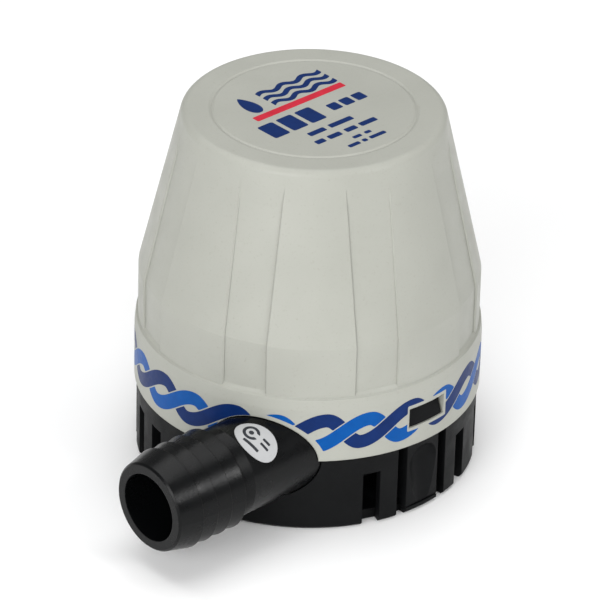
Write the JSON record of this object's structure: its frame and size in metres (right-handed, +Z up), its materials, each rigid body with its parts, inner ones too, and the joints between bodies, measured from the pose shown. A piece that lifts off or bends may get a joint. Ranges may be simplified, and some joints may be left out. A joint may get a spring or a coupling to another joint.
{
  "type": "bilge pump",
  "caption": "Submersible centrifugal bilge pump: ribbed white motor cover over a black slotted strainer base, barbed hose tail to the side.",
  "frame": {"origin": "centre of the strainer base's underside, on the surface it stands on, on the motor's axis", "axes": "+Z up along the motor's axis; the hose tail points along -X; the front latch is on -Y"},
  "size_m": [0.0945, 0.072, 0.0785],
  "materials": {
    "cover_plastic": "satin",
    "body_plastic": "fine grain",
    "impeller_plastic": "moulded",
    "rubber": "matt",
    "steel": "bright zinc",
    "ground_steel": "ground",
    "magnet": "sintered",
    "lamination": "stacked sheet",
    "copper": "enamelled wire",
    "bronze": "sintered",
    "brass": "plated",
    "carbon": "carbon brush",
    "bell_plastic": "moulded",
    "label": "printed film"
  },
  "bodies": {
    "pump": {"motor_cover": "cover_plastic", "strainer_base": "body_plastic", "volute_body": "body_plastic", "volute_cover": "body_plastic", "volute_screws": "ground_steel", "shaft_seal": "rubber", "seal_washer": "ground_steel", "cover_ring": "rubber", "motor_gasket": "rubber", "motor_can": "steel", "end_bell": "bell_plastic", "motor_screws": "ground_steel", "motor_terminals": "brass", "lower_bush": "bronze", "upper_bush": "bronze", "magnet_front": "magnet", "magnet_rear": "magnet", "magnet_clips": "steel", "brush_holder_left": "brass", "brush_holder_right": "brass", "brush_spring_left": "steel", "brush_spring_right": "steel", "cable_grommet": "rubber", "oval_label": "label"},
    "rotor": {"shaft": "ground_steel", "impeller": "impeller_plastic", "thrust_washer_low": "bronze", "thrust_washer_top": "bronze", "armature_spacer": "bell_plastic", "armature_core": "lamination", "armature_windings": "copper", "commutator": "copper"},
    "front_latch": {"front_latch": "body_plastic"},
    "rear_latch": {"rear_latch": "body_plastic"},
    "brush_left": {"brush_left": "carbon"},
    "brush_right": {"brush_right": "carbon"}
  },
  "joints": [
    {"name": "rotor_spin", "type": "hinge", "parent": "pump", "child": "rotor", "pos_m": [0, 0, 0.03], "axis": [0, 0, 1], "continuous": true},
    {"name": "front_latch_press", "type": "hinge", "parent": "pump", "child": "front_latch", "pos_m": [0, -0.03425, 0.0023], "axis": [-1, 0, 0], "range_deg": [0, 5], "stiffness_Nm_per_rad": 1.5, "springref_deg": -1.15},
    {"name": "rear_latch_press", "type": "hinge", "parent": "pump", "child": "rear_latch", "pos_m": [0, 0.03425, 0.0023], "axis": [1, 0, 0], "range_deg": [0, 5], "stiffness_Nm_per_rad": 1.5, "springref_deg": -1.15},
    {"name": "brush_left_feed", "type": "slide", "parent": "pump", "child": "brush_left", "axis": [-1, 0, 0], "range_m": [0, 0.0015], "stiffness_N_per_m": 300, "springref_m": -0.002, "deforming": ["brush_spring_left"]},
    {"name": "brush_right_feed", "type": "slide", "parent": "pump", "child": "brush_right", "axis": [1, 0, 0], "range_m": [0, 0.0015], "stiffness_N_per_m": 300, "springref_m": -0.002, "deforming": ["brush_spring_right"]}
  ]
}
